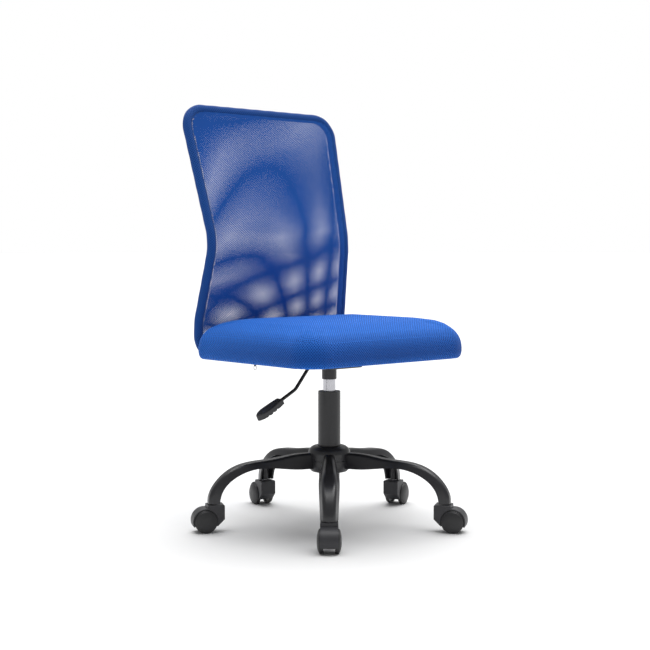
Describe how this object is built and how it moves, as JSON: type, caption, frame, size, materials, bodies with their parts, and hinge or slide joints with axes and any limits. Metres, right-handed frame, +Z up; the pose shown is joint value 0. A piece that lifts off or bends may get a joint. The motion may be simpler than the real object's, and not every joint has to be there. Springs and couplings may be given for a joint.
{
  "type": "swivel chair",
  "caption": "Swivel office chair with an open stretched-mesh back on a bent tube loop, a crowned mesh seat, a height lever, a gas column and a five-leg base on twin-wheel casters.",
  "frame": {"origin": "on the floor under the column's axis, which is also the swivel axis", "axes": "+Z up along the column; the sitter faces -Y and the mesh back is on the +Y side; X is across the seat, with the lever on the -X side, under the sitter's right hand"},
  "size_m": [0.6026, 0.5922, 0.9393],
  "materials": {
    "base_nylon": "satin moulded glass-filled nylon",
    "ring_steel": "plain zinc-plated steel",
    "ball_steel": "polished bearing steel",
    "bush_plastic": "moulded acetal",
    "column_paint": "satin black powder coat",
    "cylinder_chrome": "ground and chromed steel",
    "rubber": "matte rubber",
    "lever_steel": "black coated rod",
    "lever_plastic": "moulded plastic",
    "board_ply": "plywood",
    "foam": "upholstery foam",
    "seat_mesh": "knitted spacer mesh",
    "under_cloth": "non-woven dust cloth",
    "frame_steel": "black coated steel tube",
    "back_mesh": "open knitted net",
    "zip_tape": "dark woven tape",
    "zip_metal": "nickel-plated metal",
    "caster_plastic": "moulded nylon",
    "wheel_plastic": "moulded nylon"
  },
  "bodies": {
    "base": {"star_base": "base_nylon", "hub_ring": "ring_steel", "caster_stems": "cylinder_chrome", "column_outer_tube": "column_paint", "guide_bush": "bush_plastic", "bearing_washer_lower": "ring_steel"},
    "bearing": {"bearing_cage": "bush_plastic", "bearing_balls": "ball_steel"},
    "spindle": {"piston_rod": "cylinder_chrome", "piston": "bush_plastic", "retaining_clip": "ring_steel", "bearing_washer_upper": "ring_steel", "column_buffer": "rubber"},
    "seat": {"gas_cylinder": "cylinder_chrome", "cylinder_seal": "rubber", "column_collar": "column_paint", "seat_plate": "column_paint", "lever_pin": "ring_steel", "seat_board": "board_ply", "underside_cloth": "under_cloth", "seat_foam": "foam", "seat_cover": "seat_mesh", "tee_nuts": "ring_steel", "seat_bolts": "ring_steel", "back_bracket": "column_paint", "back_frame": "frame_steel", "sleeve_edge": "back_mesh", "sleeve_front": "back_mesh", "sleeve_rear": "back_mesh", "zip_chain": "zip_tape"},
    "lever": {"lever_rod": "lever_steel", "lever_handle": "lever_plastic"},
    "button": {"valve_button": "lever_plastic"},
    "zip_slider": {"zip_slider": "zip_metal"},
    "zip_pull": {"zip_pull": "zip_tape", "zip_pull_ring": "zip_metal"},
    "caster_1": {"caster_housing_1": "caster_plastic", "caster_axle_1": "ring_steel"},
    "wheel_left_1": {"caster_wheel_left_1": "wheel_plastic"},
    "wheel_right_1": {"caster_wheel_right_1": "wheel_plastic"},
    "caster_2": {"caster_housing_2": "caster_plastic", "caster_axle_2": "ring_steel"},
    "wheel_left_2": {"caster_wheel_left_2": "wheel_plastic"},
    "wheel_right_2": {"caster_wheel_right_2": "wheel_plastic"},
    "caster_3": {"caster_housing_3": "caster_plastic", "caster_axle_3": "ring_steel"},
    "wheel_left_3": {"caster_wheel_left_3": "wheel_plastic"},
    "wheel_right_3": {"caster_wheel_right_3": "wheel_plastic"},
    "caster_4": {"caster_housing_4": "caster_plastic", "caster_axle_4": "ring_steel"},
    "wheel_left_4": {"caster_wheel_left_4": "wheel_plastic"},
    "wheel_right_4": {"caster_wheel_right_4": "wheel_plastic"},
    "caster_5": {"caster_housing_5": "caster_plastic", "caster_axle_5": "ring_steel"},
    "wheel_left_5": {"caster_wheel_left_5": "wheel_plastic"},
    "wheel_right_5": {"caster_wheel_right_5": "wheel_plastic"}
  },
  "joints": [
    {"name": "swivel", "type": "hinge", "parent": "base", "child": "spindle", "pos_m": [0, 0, 0.1], "axis": [0, 0, 1], "continuous": true},
    {"name": "bearing_turn", "type": "hinge", "parent": "base", "child": "bearing", "pos_m": [0, 0, 0.11], "axis": [0, 0, 1], "continuous": true},
    {"name": "lift", "type": "slide", "parent": "spindle", "child": "seat", "axis": [0, 0, 1], "range_m": [-0.015, 0.085]},
    {"name": "lever_press", "type": "hinge", "parent": "seat", "child": "lever", "pos_m": [-0.044, 0, 0.374], "axis": [0, 1, 0], "range_deg": [0, 4], "stiffness_Nm_per_rad": 3},
    {"name": "button_press", "type": "slide", "parent": "seat", "child": "button", "axis": [0, 0, -1], "range_m": [0, 0.0035]},
    {"name": "zip_run", "type": "slide", "parent": "seat", "child": "zip_slider", "axis": [1, 0, 0], "range_m": [0, 0.235]},
    {"name": "zip_pull_swing", "type": "hinge", "parent": "zip_slider", "child": "zip_pull", "pos_m": [-0.053, 0.1985, 0.3621], "axis": [1, 0, 0], "range_deg": [-60, 60]},
    {"name": "caster_swivel_1", "type": "hinge", "parent": "base", "child": "caster_1", "pos_m": [-0.17629, -0.19786, 0.04], "axis": [0, 0, 1], "continuous": true},
    {"name": "wheel_roll_left_1", "type": "hinge", "parent": "caster_1", "child": "wheel_left_1", "pos_m": [-0.18893, -0.21205, 0.025], "axis": [0.7466, -0.6652, 0], "continuous": true},
    {"name": "wheel_roll_right_1", "type": "hinge", "parent": "caster_1", "child": "wheel_right_1", "pos_m": [-0.18893, -0.21205, 0.025], "axis": [0.7466, -0.6652, 0], "continuous": true},
    {"name": "caster_swivel_2", "type": "hinge", "parent": "base", "child": "caster_2", "pos_m": [0.1337, -0.2288, 0.04], "axis": [0, 0, 1], "continuous": true},
    {"name": "wheel_roll_left_2", "type": "hinge", "parent": "caster_2", "child": "wheel_left_2", "pos_m": [0.14413, -0.24468, 0.025], "axis": [0.8358, 0.549, 0], "continuous": true},
    {"name": "wheel_roll_right_2", "type": "hinge", "parent": "caster_2", "child": "wheel_right_2", "pos_m": [0.14413, -0.24468, 0.025], "axis": [0.8358, 0.549, 0], "continuous": true},
    {"name": "caster_swivel_3", "type": "hinge", "parent": "base", "child": "caster_3", "pos_m": [0.25892, 0.05645, 0.04], "axis": [0, 0, 1], "continuous": true},
    {"name": "wheel_roll_left_3", "type": "hinge", "parent": "caster_3", "child": "wheel_left_3", "pos_m": [0.2765, 0.06366, 0.025], "axis": [-0.3795, 0.9252, 0], "continuous": true},
    {"name": "wheel_roll_right_3", "type": "hinge", "parent": "caster_3", "child": "wheel_right_3", "pos_m": [0.2765, 0.06366, 0.025], "axis": [-0.3795, 0.9252, 0], "continuous": true},
    {"name": "caster_swivel_4", "type": "hinge", "parent": "base", "child": "caster_4", "pos_m": [0.02632, 0.26369, 0.04], "axis": [0, 0, 1], "continuous": true},
    {"name": "wheel_roll_left_4", "type": "hinge", "parent": "caster_4", "child": "wheel_left_4", "pos_m": [0.03076, 0.28216, 0.025], "axis": [-0.9724, 0.2334, 0], "continuous": true},
    {"name": "wheel_roll_right_4", "type": "hinge", "parent": "caster_4", "child": "wheel_right_4", "pos_m": [0.03076, 0.28216, 0.025], "axis": [-0.9724, 0.2334, 0], "continuous": true},
    {"name": "caster_swivel_5", "type": "hinge", "parent": "base", "child": "caster_5", "pos_m": [-0.24265, 0.10652, 0.04], "axis": [0, 0, 1], "continuous": true},
    {"name": "wheel_roll_left_5", "type": "hinge", "parent": "caster_5", "child": "wheel_left_5", "pos_m": [-0.25962, 0.11505, 0.025], "axis": [-0.4493, -0.8934, 0], "continuous": true},
    {"name": "wheel_roll_right_5", "type": "hinge", "parent": "caster_5", "child": "wheel_right_5", "pos_m": [-0.25962, 0.11505, 0.025], "axis": [-0.4493, -0.8934, 0], "continuous": true}
  ],
  "couplings": [
    {"joint": "bearing_turn", "follows": "swivel", "ratio": 0.5},
    {"joint": "button_press", "follows": "lever_press", "m_per_rad": 0.044}
  ]
}
